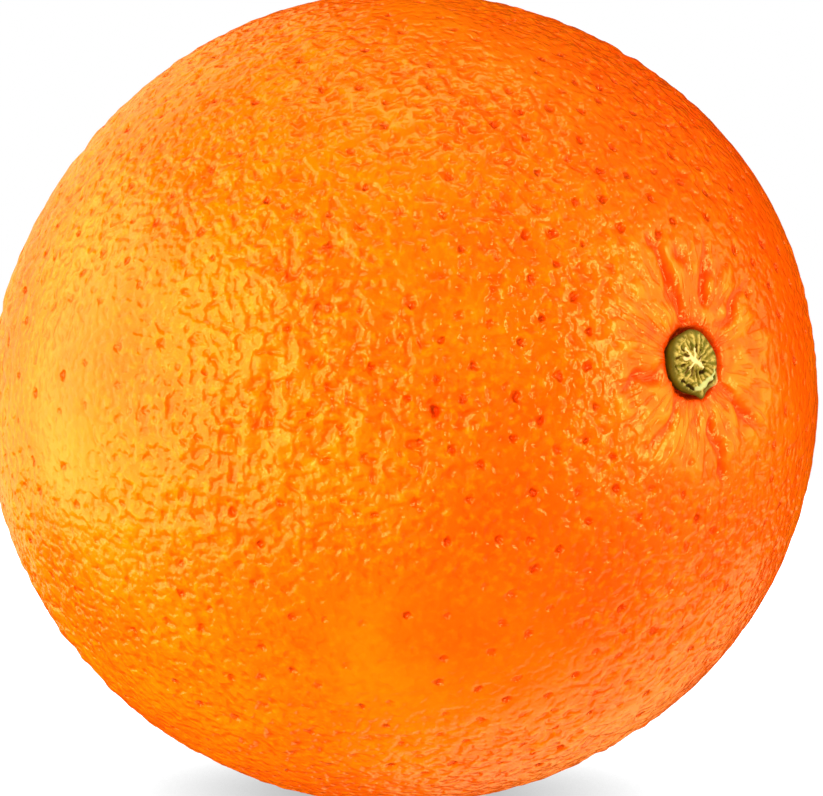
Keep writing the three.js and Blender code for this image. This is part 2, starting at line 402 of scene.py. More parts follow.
# %% [markdown]
# ## Lumps, knobs and dents between the pits
# Between the glands the peel isn't smooth: it is pebbled with rounded lumps and knobs a millimetre or
# two across, and hammered with shallow dents. Each of them is smooth noise of its own size. A noise
# that is cut off at a threshold draws outlined islands, so the lumps and knobs keep the noise's full
# swing, and the dents have a wide soft edge. Slow noise and the patches set how strong all three are.
# The level that the lumps and knobs are measured down from is one that the noise seldom passes.

# %% Relief of the pebbled peel
LUMP_SIZE = 1.7
LUMP_HEIGHT = 0.32
KNOB_SIZE = 1.1
KNOB_HEIGHT = 0.2
DENT_SIZE = 1.2
DENT_DEPTH = 0.13
DENT_EDGE = (-0.05, 0.6)
DENTS_OFF_LUMPS = 0.5
NOISE_TOP = 0.6
PEBBLING = 0.65
PEBBLING_SWING = 0.5
PEBBLING_SIZE = 12
PEBBLING_RANGE = (0.12, 1.3)
PAD_SMOOTHNESS = 0.75

pebbling = PEBBLING + PEBBLING_SWING * grain(plump, PEBBLING_SIZE, seed=3)
pebbling += patch_strength(way, PEBBLED_PATCHES) - patch_strength(way, SMOOTH_PATCHES)
pebbling = np.clip(pebbling, *PEBBLING_RANGE) * (1 - PAD_SMOOTHNESS * pads)
lumps = grain(plump, LUMP_SIZE, seed=4)
knobs = grain(plump, KNOB_SIZE, seed=6)
dent = ramp(grain(plump, DENT_SIZE, seed=5) - DENTS_OFF_LUMPS * lumps, *DENT_EDGE)
print("dents cover", round(100 * float(np.mean(dent > 0.5))), "% of the peel")

# %% [markdown]
# ## The relief, the socket and the flat spot
# All of the relief goes inwards from the plump skin, apart from the puffs of the pads. The button sits
# in a socket a little wider than itself, with a steep wall. Where the fruit rests the peel is pressed
# flat, so a corner below the surface is lifted to it.

# %% Add it all up
SAUCER_RADIUS = 0.57
SAUCER_DEPTH = 0.26
PAD_PUFF = 0.27
BUTTON_RADIUS = 2.85
BUTTON_TOP = POLE_RADIUS - 0.75
BUTTON_THICKNESS = 1.7
BUTTON_LOBE_ROOM = 0.1
SOCKET_GAP = 0.3
SOCKET_WALL = 0.3
socket_radius = BUTTON_RADIUS + BUTTON_LOBE_ROOM + SOCKET_GAP
socket_floor = BUTTON_TOP - BUTTON_THICKNESS - SOCKET_GAP

saucer = SAUCER_DEPTH * strength_here * bell(pit_distance, SAUCER_RADIUS)
relief = furrow + SCAR_DEPTH * scar - PAD_PUFF * pads * puff + saucer * (1 - pads)
relief += pebbling * (KNOB_HEIGHT * (NOISE_TOP - knobs) + DENT_DEPTH * dent)
relief += pebbling ** 2 * LUMP_HEIGHT * (NOISE_TOP - lumps)
surface = way * (radius - relief)[:, None]
in_socket = np.where(stem_side, 1 - ramp(from_core, socket_radius - SOCKET_WALL, socket_radius), 0)
surface[:, 2] += in_socket * (socket_floor - surface[:, 2])
below_floor = surface @ down - centre_height
surface -= down[None, :] * np.maximum(below_floor, 0)[:, None]
print("corners on the flat spot:", int(np.sum(below_floor > 0)))

# %% [markdown]
# ## From millimetres in the fruit's frame to a finished piece
# A finished piece's object sits at the origin, so the matrix that lays the fruit down is applied to
# its corners. The skin's box is centred over the solid's. Each number that the material needs is
# stored on the corners as a named attribute.

# %% Helpers that finish a piece
def laid_down(body, middle):
    """Lays a bmesh in the fruit's frame down on the surface, in metres, over the given middle."""
    place = Matrix.Translation((middle.x, middle.y, centre_height * MM)) @ lean @ Matrix.Scale(MM, 4)
    bmesh.ops.transform(body, matrix=place, verts=body.verts)


def finished(name, body, marks, node):
    """Turns a bmesh into a named piece with smooth faces that stands for one CAD node."""
    for face in body.faces:
        face.smooth = True
    mesh = bpy.data.meshes.new(name)
    body.to_mesh(mesh)
    body.free()
    for mark, values in marks.items():
        kind = "FLOAT_VECTOR" if values.ndim == 2 else "FLOAT"
        field = "vector" if values.ndim == 2 else "value"
        stored = mesh.attributes.new(mark, kind, "POINT")
        stored.data.foreach_set(field, values.astype(np.float32).ravel())
    piece = bpy.data.objects.new(name, mesh)
    bpy.context.scene.collection.objects.link(piece)
    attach(piece, "root")
    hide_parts(node)
    print(name, "has", sum(len(face.vertices) - 2 for face in mesh.polygons), "triangles")
    return piece


# %% Lay the skin down
for corner, place in zip(skin.verts, surface):
    corner.co = place
laid = np.array(lean.to_3x3()) @ surface.T
skin_middle = (laid.max(1) + laid.min(1)) / 2 * MM
solid_middle = (cad_box[0] + cad_box[1]) / 2
middle = Vector((solid_middle.x - skin_middle[0], solid_middle.y - skin_middle[1], 0))
laid_down(skin, middle)
print("skin moved by, mm:", [round(c / MM, 2) for c in middle])

# %% [markdown]
# Round the core the peel has fine wrinkles that run out from the button like spokes. Noise makes them
# when it is read in stretched coordinates: slow along the spoke and fast round the core. Pits fade out
# on the pads, and they stay off the flat spot and the slope just round it.

# %% Make the peel
PIT_REACH = 0.64
PAD_PIT_FADE = 0.85
REST_SPOT_MARGIN = 0.4
SHADE_FROM_DEPTH = 0.1
SHADE_OVER_DEPTH = 0.22
SHEEN_PUFF = (-0.25, 0.3)
SOCKET_SHADE_RADII = (3.2, 4.8)
WRINKLE_LENGTH = 3
WRINKLES_ROUND = 11
LEAST_ACROSS = 1e-6

has_pit = (pit_distance < PIT_REACH) & (below_floor < -REST_SPOT_MARGIN)
unit_across = way[:, :2] / np.maximum(np.hypot(way[:, 0], way[:, 1]), LEAST_ACROSS)[:, None]
peel_marks = {
    "pit_way": to_pit / pit_size[nearest][:, None],
    "pit_strength": has_pit * strength_here * (1 - PAD_PIT_FADE * pads),
    "dent": dent * pebbling,
    # The deeper part of each furrow is painted redder: painted shade in the groove.
    "furrow": np.clip((furrow - SHADE_FROM_DEPTH) / SHADE_OVER_DEPTH, 0, 1),
    # The raised puffs of the pads are painted paler peach: a painted sheen.
    "puff": pads * ramp(puff, *SHEEN_PUFF),
    "pebbling": pebbling,
    "pads": pads,
    "scar": scar,
    "ripe_and_shade": ripe_and_shade,
    # A ring round the button's socket is painted redder: painted shade round the button.
    "ring": np.where(stem_side, 1 - ramp(from_core, *SOCKET_SHADE_RADII), 0),
    "spoke_way": np.column_stack([from_core / WRINKLE_LENGTH, WRINKLES_ROUND * unit_across]),
}
peel = finished("peel", skin, peel_marks, "orange_fruit")

# %% [markdown]
# ## The calyx button
# The green button is the calyx, the little star of sepals that once held the flower, dried where the
# stem broke off. Its face is a worn disc with a white star of pith in its middle, rays of wood round
# it with hollows between them, and one large hole. On one side the rim is torn up in a pale lip. A
# profile spun round the core makes a closed disc, and soft strokes drawn on the face lift and sink it.

# %% Spin the button
BUTTON_STEPS = 288
FACE_RINGS = 44
FACE_RADIUS = BUTTON_RADIUS - 0.3
BUTTON_WALL = (  # from the core, and depth under the rim's level, in mm
    (BUTTON_RADIUS - 0.16, 0.05),
    (BUTTON_RADIUS - 0.07, 0.13),
    (BUTTON_RADIUS - 0.02, 0.25),
    (BUTTON_RADIUS, 0.4),
    (BUTTON_RADIUS - 0.02, 0.6),
    (BUTTON_RADIUS - 0.1, 0.9),
    (BUTTON_RADIUS - 0.2, 1.2),
    (BUTTON_RADIUS - 0.4, 1.5),
    (BUTTON_RADIUS - 0.8, 1.62),
    (0, 1.62),
)
MERGE_DISTANCE = 1e-4


def spun_button():
    """A closed disc of many rings, with its rim's level at height 0."""
    disc = bmesh.new()
    profile = [(FACE_RADIUS * ring / FACE_RINGS, 0) for ring in range(FACE_RINGS + 1)]
    profile += BUTTON_WALL
    corners = [disc.verts.new((from_core, 0, -depth)) for from_core, depth in profile]
    edges = [disc.edges.new(pair) for pair in zip(corners, corners[1:])]
    bmesh.ops.spin(
        disc, geom=corners + edges, cent=(0, 0, 0), axis=(0, 0, 1), angle=math.tau,
        steps=BUTTON_STEPS, use_merge=True,
    )
    bmesh.ops.remove_doubles(disc, verts=disc.verts, dist=MERGE_DISTANCE)
    bmesh.ops.recalc_face_normals(disc, faces=disc.faces)
    return disc


button = spun_button()
spun = np.array([corner.co for corner in button.verts])
print("button:", len(button.verts), "corners")

# %% Strokes on the button's face
STROKES = {  # start, end and width of each stroke, in mm from the core
    "pith": (
        ((-0.85, 0.5), (0.5, -0.3), 0.27),
        ((-0.3, 0.3), (-0.05, 1.15), 0.12),
        ((-0.6, 0.4), (-1.5, 0.4), 0.14),
        ((-0.3, 0.0), (-0.9, -0.5), 0.12),
        ((0.3, 0.0), (0.8, 0.5), 0.09),
        ((0.3, -0.3), (0.75, -0.5), 0.12),
        ((-0.7, 0.7), (-1.1, 1.3), 0.12),
    ),
    "hollow": (
        ((-0.85, 0.55), (-1.2, 0.75), 0.13),
        ((-1.25, 1.1), (-1.5, 1.35), 0.12),
        ((-0.35, 1.15), (-0.45, 1.6), 0.11),
        ((0.2, 1.0), (0.35, 1.45), 0.12),
        ((0.45, 0.7), (0.75, 1.05), 0.11),
        ((0.5, 0.3), (0.8, 0.45), 0.1),
        ((-1.3, -0.1), (-1.75, -0.25), 0.13),
        ((-1.0, -0.5), (-1.35, -0.8), 0.14),
        ((-0.45, -0.6), (-0.6, -1.1), 0.18),
        ((-0.1, -0.8), (-0.1, -1.35), 0.13),
        ((0.8, -0.1), (1.15, -0.05), 0.1),
        ((-1.9, 0.5), (-2.2, 0.55), 0.1),
    ),
    "stem hole": (
        ((0.5, -1.0), (0.95, -0.9), 0.24),
        ((0.95, -0.8), (1.1, -0.6), 0.13),
    ),
    "crack": (
        ((-1.7, -1.45), (-1.1, -1.95), 0.12),
        ((-1.0, -1.9), (-0.45, -2.35), 0.17),
        ((-2.45, 0.2), (-2.3, -0.5), 0.08),
    ),
    "lip": (
        ((-0.15, -2.3), (0.75, -1.95), 0.26),
        ((0.75, -1.95), (1.6, -1.4), 0.24),
        ((1.6, -1.4), (2.2, -0.75), 0.16),
    ),
    "under the lip": (
        ((0.75, -2.4), (1.5, -1.95), 0.1),
        ((1.5, -1.95), (2.15, -1.3), 0.1),
    ),
    "old rim": (
        ((-2.25, -0.5), (-1.6, -1.2), 0.12),
        ((-1.6, -1.2), (-0.6, -1.65), 0.12),
        ((-0.6, -1.65), (-0.1, -2.2), 0.12),
        ((-2.2, 0.3), (-1.7, 1.5), 0.12),
        ((-1.7, 1.5), (-0.9, 2.1), 0.1),
    ),
}
BUTTON_WARP = 0.16
BUTTON_WARP_SIZE = 0.5
x = spun[:, 0] + BUTTON_WARP * grain(spun, BUTTON_WARP_SIZE, seed=21)
y = spun[:, 1] + BUTTON_WARP * grain(spun, BUTTON_WARP_SIZE, seed=22)


def drawn(lines):
    """One along each line and nothing far from it."""
    most = np.zeros(len(spun))
    for start, end, width in lines:
        run = np.subtract(end, start)
        along = ((x - start[0]) * run[0] + (y - start[1]) * run[1]) / (run @ run)
        along = np.clip(along, 0, 1)
        off = np.hypot(x - start[0] - along * run[0], y - start[1] - along * run[1])
        most = np.maximum(most, bell(off, width))
    return most


stroke = {name: drawn(lines) for name, lines in STROKES.items()}
print("strokes on the button:", sum(len(lines) for lines in STROKES.values()))

# %% Raise and sink the face
STROKE_RISE = {  # mm up, or down where it is below 0
    "pith": 0.12,
    "old rim": 0.1,
    "lip": 0.2,
    "hollow": -0.26,
    "stem hole": -0.6,
    "crack": -0.4,
    "under the lip": -0.3,
}
DOME_RISE = 0.2
SPOKES = 21
SPOKE_RISE = 0.05
SPOKE_START = (0.7, 1.3)
SPOKE_WARP = 3
SPOKE_WARP_SIZE = 1.3
FACE_GRAIN = 0.06
FACE_GRAIN_SIZE = 0.35
FACE_EDGE_DEPTH = 0.12
face_radius = np.hypot(x, y)
face_turn = np.arctan2(y, x)
on_face = ramp(-spun[:, 2], FACE_EDGE_DEPTH, 0)
spoke = np.sin(SPOKES * face_turn + SPOKE_WARP * grain(spun, SPOKE_WARP_SIZE, seed=23))
spoke = spoke * ramp(face_radius, *SPOKE_START)
rise = DOME_RISE * (1 - (face_radius / FACE_RADIUS) ** 2) + SPOKE_RISE * spoke
rise += FACE_GRAIN * grain(spun, FACE_GRAIN_SIZE, seed=24)
for name, height in STROKE_RISE.items():
    rise += height * stroke[name]
print("face stands out by, mm:", round(float((rise * on_face).max()), 2))

# %% [markdown]
# Seen from above the button isn't round: it has five low lobes, and the tips of a few sepals reach out
# past it. Both push its corners out from the core, most of all at the rim.

# %% Push the rim out
LOBES = 5
LOBE_REACH = 0.09
RIM_STRAY = 0.07
RIM_STRAY_SIZE = 1.2
SEPALS = (  # direction in degrees, reach past the rim in mm, half width in degrees
    (-80, 0.45, 9),
    (-37, 0.65, 13),
    (100, 0.1, 12),
    (128, 0.12, 9),
)
SEPAL_DEPTHS = (0.5, 0.2)
RIM_POWER = 4
NEAR_CORE = 0.1
FACE_SINK = 0.1
core = np.hypot(spun[:, 0], spun[:, 1])
turn = np.arctan2(spun[:, 1], spun[:, 0])
reach_out = LOBE_REACH * np.cos(LOBES * turn) + RIM_STRAY * grain(spun, RIM_STRAY_SIZE, seed=25)
for degrees, reach, half_width in SEPALS:
    aside = np.angle(np.exp(1j * (turn - math.radians(degrees))))
    reach_out += reach * bell(aside, math.radians(half_width)) * ramp(-spun[:, 2], *SEPAL_DEPTHS)
stretch = 1 + reach_out * (core / BUTTON_RADIUS) ** RIM_POWER / np.maximum(core, NEAR_CORE)
raised = np.column_stack([
    spun[:, :2] * stretch[:, None],
    BUTTON_TOP - FACE_SINK + spun[:, 2] + rise * on_face,
])
for corner, place in zip(button.verts, raised):
    corner.co = place
laid_down(button, middle)
print("button is", round(float(np.ptp(raised[:, 0])), 2), "mm wide")

# %% Make the calyx
SCRAP_TURN = -37
SCRAP_HALF_WIDTH = 14
WALL_SHADE_START = 0.25
SCRAP_START = 0.3
# The stem hole and cracks are painted near black, and with the groove under the lip they join the hollows,
# whose brown is deepened: painted shade in the recesses.
deep_shade = np.maximum(stroke["stem hole"], stroke["crack"])
button_marks = {
    "pith": stroke["pith"] * on_face,
    "hollow": np.maximum(np.maximum(stroke["hollow"], stroke["under the lip"]), deep_shade) * on_face,
    "deep_shade": deep_shade * on_face,
    "lip": stroke["lip"] * on_face,
    "pale": np.maximum(stroke["old rim"], 0.5 + 0.5 * spoke) * on_face,
    # The rim and side wall of the button are painted darker: painted shade.
    "wall_shade": np.clip(ramp(core, FACE_RADIUS - WALL_SHADE_START, BUTTON_RADIUS) + 1 - on_face, 0, 1),
    "scrap": (
        bell(np.degrees(turn) - SCRAP_TURN, SCRAP_HALF_WIDTH)
        * ramp(core, BUTTON_RADIUS - SCRAP_START, BUTTON_RADIUS)
    ),
}
calyx = finished("calyx_button", button, button_marks, "calyx_button")

# %% [markdown]
# ## Colours and nodes
# Colours are written as sRGB hex values, as a painter's swatch would be, and turned linear by one
# function. One helper adds a node with its settings and links. What many nodes of a kind share is
# written once, in a table and a loop.

# %% Helpers for materials
def linear(hex_colour):
    """An sRGB hex colour as the linear RGBA that nodes want."""
    parts = [int(hex_colour[i:i + 2], 16) / 255 for i in (0, 2, 4)]
    return [c / 12.92 if c <= 0.04045 else ((c + 0.055) / 1.055) ** 2.4 for c in parts] + [1]


def add_node(tree, kind, settings, inputs):
    """Adds one node: settings are its options, and inputs are constants or sockets to link from."""
    made = tree.nodes.new(kind)
    for option, value in settings.items():
        setattr(made, option, value)
    for name, value in inputs.items():
        if isinstance(value, bpy.types.NodeSocket):
            tree.links.new(value, made.inputs[name])
        else:
            made.inputs[name].default_value = value
    return made


def new_material(name):
    """A new material and its empty node tree."""
    material = bpy.data.materials.new(name)
    material.use_nodes = True
    material.node_tree.nodes.clear()
    return material, material.node_tree


# Short names for the settings of the nodes that come most often, and for the inputs of a blend
MULTIPLY = {"operation": "MULTIPLY"}
MULTIPLY_ADD = {"operation": "MULTIPLY_ADD"}
SMOOTH = {"interpolation_type": "SMOOTHSTEP"}
COLOUR = {"data_type": "RGBA"}
SHARE, UNDER, OVER, BLENDED = 0, 6, 7, 2
VALUE, FROM_MIN, FROM_MAX, TO_MIN, TO_MAX = range(5)

# %% [markdown]
# ## Waxy citrus peel
# Citrus peel is coloured by carotene under a thin natural wax. It looks deep orange where no light
# glances off it. Shade is painted into its colour: redder in the pits, dents, furrows and round the
# button, where light bounces from wall to wall. A painted sheen makes the puffs of the pads paler, and
# fine yellow flecks, partly painted glints, lie over the pebbled parts. The wax gives a soft broad
# gloss that the finest pores break up. A little light passes through the peel, so it scatters under
# the surface by about a millimetre.

# %% Peel: the stored marks and the noises
PEEL_NOISES = {  # size of its lumps in mm, detail, and where it starts to show and shows in full
    "blotch": (11, 3, 0.3, 0.7),
    "hollow": (0.8, 0, 0.6, 0.05),
    "dimple": (0.5, 0, 0.56, 0.12),
    "fleck_and_glint": (0.75, 2, 0.45, 0.75),
    "grain": (0.3, 1, None, None),
}
waxy_peel, tree = new_material("waxy_citrus_peel")
place = add_node(tree, "ShaderNodeTexCoord", {}, {}).outputs["Object"]
stored = {
    name: add_node(tree, "ShaderNodeAttribute", {"attribute_name": name}, {}).outputs
    for name in peel_marks
}
shown = {}
for name, (size, detail, start, full) in PEEL_NOISES.items():
    shown[name] = add_node(tree, "ShaderNodeTexNoise", {}, {
        "Vector": place, "Scale": 1 / (size * MM), "Detail": detail,
    }).outputs["Fac"]
    if start is not None:
        shown[name] = add_node(tree, "ShaderNodeMapRange", SMOOTH, {
            VALUE: shown[name], FROM_MIN: start, FROM_MAX: full,
        }).outputs[0]
print("the peel reads", len(stored), "marks and", len(shown), "noises")

# %% [markdown]
# A pit's middle is drawn from each place's stored way to it, in pit radii. A little noise is added to
# that way, so that no pit is a true circle. The same distance gives the pit itself and a wider halo;
# both are painted redder, which is painted shade in the hollow.

# %% Peel: pits
PIT_STRAY = 1.2
PIT_STRAY_SIZE = 0.5 * MM
PIT_EDGES = {"pit": (1.45, 0.1), "pit_shade_halo": (2.2, 0.4)}
stray = add_node(tree, "ShaderNodeTexNoise", {}, {
    "Vector": place, "Scale": 1 / PIT_STRAY_SIZE, "Detail": 0.0,
}).outputs["Color"]
centred = add_node(tree, "ShaderNodeVectorMath", {"operation": "SUBTRACT"}, {
    0: stray, 1: (0.5, 0.5, 0.5),
}).outputs[0]
strayed = add_node(tree, "ShaderNodeVectorMath", MULTIPLY_ADD, {
    0: centred, 1: (PIT_STRAY, PIT_STRAY, PIT_STRAY), 2: stored["pit_way"]["Vector"],
}).outputs[0]
distance = add_node(tree, "ShaderNodeVectorMath", {"operation": "LENGTH"}, {0: strayed}).outputs["Value"]
for name, (start, full) in PIT_EDGES.items():
    edge = add_node(tree, "ShaderNodeMapRange", SMOOTH, {VALUE: distance, FROM_MIN: start, FROM_MAX: full})
    shown[name] = add_node(tree, "ShaderNodeMath", MULTIPLY, {
        0: edge.outputs[0], 1: stored["pit_strength"]["Fac"],
    }).outputs[0]

# %% [markdown]
# The finest hollows, dimples and flecks, whose yellow is partly the peel's mottle and partly painted
# glints, show most where the peel is pebbled, and the wrinkles only on the pads.

# %% Peel: where the finest relief shows
LEAST_ROUGHNESS = 0.2
LEAST_FLECKS_AND_GLINTS = 0.3
WRINKLE_EDGES = (0.5, 0.35)
rough = add_node(tree, "ShaderNodeMath", {"operation": "ADD"}, {
    0: stored["pebbling"]["Fac"], 1: LEAST_ROUGHNESS,
}).outputs[0]
fleck_and_glint_cover = add_node(tree, "ShaderNodeMapRange", SMOOTH, {
    VALUE: stored["pebbling"]["Fac"], FROM_MIN: 0.0, FROM_MAX: 1.0, TO_MIN: LEAST_FLECKS_AND_GLINTS, TO_MAX: 1.0,
}).outputs[0]
wrinkles = add_node(tree, "ShaderNodeTexNoise", {}, {
    "Vector": stored["spoke_way"]["Vector"], "Scale": 1.0, "Detail": 1.0,
}).outputs["Fac"]
shown["wrinkle"] = add_node(tree, "ShaderNodeMapRange", SMOOTH, {
    VALUE: wrinkles, FROM_MIN: WRINKLE_EDGES[0], FROM_MAX: WRINKLE_EDGES[1],
}).outputs[0]
for name, where in (
    ("hollow", rough), ("dimple", rough), ("fleck_and_glint", fleck_and_glint_cover), ("wrinkle", stored["pads"]["Fac"]),
):
    shown[name] = add_node(tree, "ShaderNodeMath", MULTIPLY, {0: shown[name], 1: where}).outputs[0]

# %% [markdown]
# The colour is built up as a painter would, one thin layer over another. A place gets painted shade
# from its dents, its hollows and its wrinkles together, and the blend takes no more than the whole of them.

# %% Peel: colours
PEEL_ORANGE = "F76600"
PEEL_YELLOW = "FA7E00"
# Redder patches: partly riper peel, partly painted shade on the side away from the main lamp.
RIPE_AND_SHADE_ORANGE = "F24A00"
# Yellow flecks: partly the peel's own mottle, partly painted glints.
FLECK_AND_GLINT_YELLOW = "FF9200"
# Pads' puffs: a painted sheen.
PAD_SHEEN_PEACH = "FFA628"
# Dents, hollows, wrinkles and pit halos are painted redder: painted shade in the recesses.
DENT_SHADE_RED = "F44000"
# Furrows are painted redder: painted shade in the grooves.
FURROW_SHADE_RED = "EA3C00"
# Ring round the button: painted shade.
SOCKET_SHADE_RED = "E03000"
SCAR_BROWN = "7A4A12"
# Pits and their halos are painted redder: painted shade in the hollows.
PIT_SHADE_RED = "E83A00"
RELIEF_SHADE_SHARES = ((0.2, stored["dent"]["Fac"]), (0.45, shown["hollow"]), (0.35, shown["wrinkle"]))
relief_shade = 0.0
for share, where in RELIEF_SHADE_SHARES:
    relief_shade = add_node(tree, "ShaderNodeMath", MULTIPLY_ADD, {0: where, 1: share, 2: relief_shade}).outputs[0]
peel_layers = (  # where the layer lies, how much it covers, its colour
    (stored["ripe_and_shade"]["Fac"], 1.0, RIPE_AND_SHADE_ORANGE),
    (shown["fleck_and_glint"], 0.7, FLECK_AND_GLINT_YELLOW),
    (stored["puff"]["Fac"], 0.5, PAD_SHEEN_PEACH),
    (relief_shade, 1.0, DENT_SHADE_RED),
    (stored["furrow"]["Fac"], 0.8, FURROW_SHADE_RED),
    (stored["ring"]["Fac"], 0.8, SOCKET_SHADE_RED),
    (stored["scar"]["Fac"], 1.0, SCAR_BROWN),
    (shown["pit_shade_halo"], 0.22, DENT_SHADE_RED),
    (shown["pit"], 0.9, PIT_SHADE_RED),
)
colour = add_node(tree, "ShaderNodeMix", COLOUR, {
    SHARE: shown["blotch"], UNDER: linear(PEEL_ORANGE), OVER: linear(PEEL_YELLOW),
}).outputs[BLENDED]
for where, cover, layer_colour in peel_layers:
    share = add_node(tree, "ShaderNodeMath", MULTIPLY, {0: where, 1: cover}).outputs[0]
    colour = add_node(tree, "ShaderNodeMix", COLOUR, {
        SHARE: share, UNDER: colour, OVER: linear(layer_colour),
    }).outputs[BLENDED]
print(len(peel_layers), "layers of colour on the peel")

# %% [markdown]
# What is finer than the mesh's faces of half a millimetre is added as bump: the steep middle of each
# pit, the pores, the wrinkles and the grain of the wax.

# %% Peel: fine relief and the shader
FINE_RELIEF = {  # height in mm where it shows in full
    "pit": -0.42,
    "hollow": -0.26,
    "dimple": -0.04,
    "wrinkle": -0.06,
    "grain": 0.028,
    "fleck_and_glint": 0.02,
}
WAX_ROUGHNESS = 0.18
WAX_IOR = 1.5
WAX_TINT = "FFE6B4"
SCATTERED_SHARE = 0.05
SCATTERING_BY_COLOUR = (1.0, 0.35, 0.1)
SCATTERING_DEPTH = 1.0 * MM
height = 0.0
for name, depth in FINE_RELIEF.items():
    height = add_node(tree, "ShaderNodeMath", MULTIPLY_ADD, {
        0: shown[name], 1: depth * MM, 2: height,
    }).outputs[0]
bump = add_node(tree, "ShaderNodeBump", {}, {"Strength": 1.0, "Distance": 1.0, "Height": height})
shader = add_node(tree, "ShaderNodeBsdfPrincipled", {}, {
    "Base Color": colour,
    "Roughness": WAX_ROUGHNESS,
    "IOR": WAX_IOR,
    "Specular Tint": linear(WAX_TINT),
    "Subsurface Weight": SCATTERED_SHARE,
    "Subsurface Radius": SCATTERING_BY_COLOUR,
    "Subsurface Scale": SCATTERING_DEPTH,
    "Normal": bump.outputs[0],
})
add_node(tree, "ShaderNodeOutputMaterial", {}, {"Surface": shader.outputs[0]})
peel.data.materials.append(waxy_peel)
print("peel material has", len(tree.nodes), "nodes")

# %% [markdown]
# ## Dried green calyx
# The calyx is dead sepal and wood fibre: dull, olive where green is left, brown in its hollows, and
# nearly white where the pith shows. The brown of the hollows is deepened with painted shade, the stem
# hole and cracks are painted near black as painted shade, and the rim and side wall are painted darker
# as painted shade. It has no wax, so its gloss is weak and wide.

# %% Calyx: the stored marks and the noises
CALYX_NOISES = {  # size of its lumps in mm, and where it starts to show and shows in full
    "mottle": (0.7, 0.35, 0.65),
    "fibre": (0.3, 0.3, 0.6),
}
NOISE_DETAIL = 3.0
dry_calyx, tree = new_material("dried_green_calyx")
place = add_node(tree, "ShaderNodeTexCoord", {}, {}).outputs["Object"]
stored = {
    name: add_node(tree, "ShaderNodeAttribute", {"attribute_name": name}, {}).outputs["Fac"]
    for name in button_marks
}
noises = {}
shown = {}
for name, (size, start, full) in CALYX_NOISES.items():
    noises[name] = add_node(tree, "ShaderNodeTexNoise", {}, {
        "Vector": place, "Scale": 1 / (size * MM), "Detail": NOISE_DETAIL,
    }).outputs["Fac"]
    shown[name] = add_node(tree, "ShaderNodeMapRange", SMOOTH, {
        VALUE: noises[name], FROM_MIN: start, FROM_MAX: full,
    }).outputs[0]

# %% Calyx: where each colour lies
WALL_SHADE_COVER = 0.8
MARK_EDGES = {  # where a stored mark starts to show, and where it shows in full
    "pith": (0.2, 0.8),
    "lip": (0.3, 0.8),
    "hollow": (0.25, 0.8),
    "deep_shade": (0.3, 0.8),
}
shown["pale"] = add_node(tree, "ShaderNodeMath", MULTIPLY, {0: stored["pale"], 1: shown["fibre"]}).outputs[0]
shown["wall_shade"] = add_node(tree, "ShaderNodeMath", MULTIPLY, {0: stored["wall_shade"], 1: WALL_SHADE_COVER}).outputs[0]
for name, (start, full) in MARK_EDGES.items():
    shown[name] = add_node(tree, "ShaderNodeMapRange", SMOOTH, {
        VALUE: stored[name], FROM_MIN: start, FROM_MAX: full,
    }).outputs[0]
shown["scrap"] = stored["scrap"]
print("the calyx reads", len(stored), "marks and", len(noises), "noises")

# %% Calyx: colours and the shader
CALYX_OLIVE = "7A7210"
CALYX_COLOURS = {  # from the lowest layer to the topmost
    "mottle": "58640A",
    "pale": "D4CE90",
    # Rim and side wall: painted shade.
    "wall_shade": "58560C",
    "pith": "FFF8EC",
    "lip": "C6E2CC",
    # Hollows: the brown of dead tissue, deepened with painted shade.
    "hollow": "5E4A10",
    # Stem hole and cracks: painted shade, near black.
    "deep_shade": "3A2808",
    "scrap": "FFDFBE",
}
FIBRE_HEIGHT = 0.1 * MM
CALYX_ROUGHNESS = 0.55
CALYX_IOR = 1.4
colour = linear(CALYX_OLIVE)
for name, layer_colour in CALYX_COLOURS.items():
    colour = add_node(tree, "ShaderNodeMix", COLOUR, {
        SHARE: shown[name], UNDER: colour, OVER: linear(layer_colour),
    }).outputs[BLENDED]
height = add_node(tree, "ShaderNodeMath", MULTIPLY, {0: noises["fibre"], 1: FIBRE_HEIGHT})
bump = add_node(tree, "ShaderNodeBump", {}, {
    "Strength": 1.0, "Distance": 1.0, "Height": height.outputs[0],
})
shader = add_node(tree, "ShaderNodeBsdfPrincipled", {}, {
    "Base Color": colour,
    "Roughness": CALYX_ROUGHNESS,
    "IOR": CALYX_IOR,
    "Normal": bump.outputs[0],
})
add_node(tree, "ShaderNodeOutputMaterial", {}, {"Surface": shader.outputs[0]})
calyx.data.materials.append(dry_calyx)
print("calyx material has", len(tree.nodes), "nodes")

# %% [markdown]
# ## Floor
# A studio's white table is lit until it is as bright as the backdrop, with only a soft grey shadow
# close under the fruit. So the floor shines with its own even light, and is dimmed by how much of the
# space over it the fruit hides. It takes no part in lighting the fruit: it casts no shadow and shows
# in no reflection.

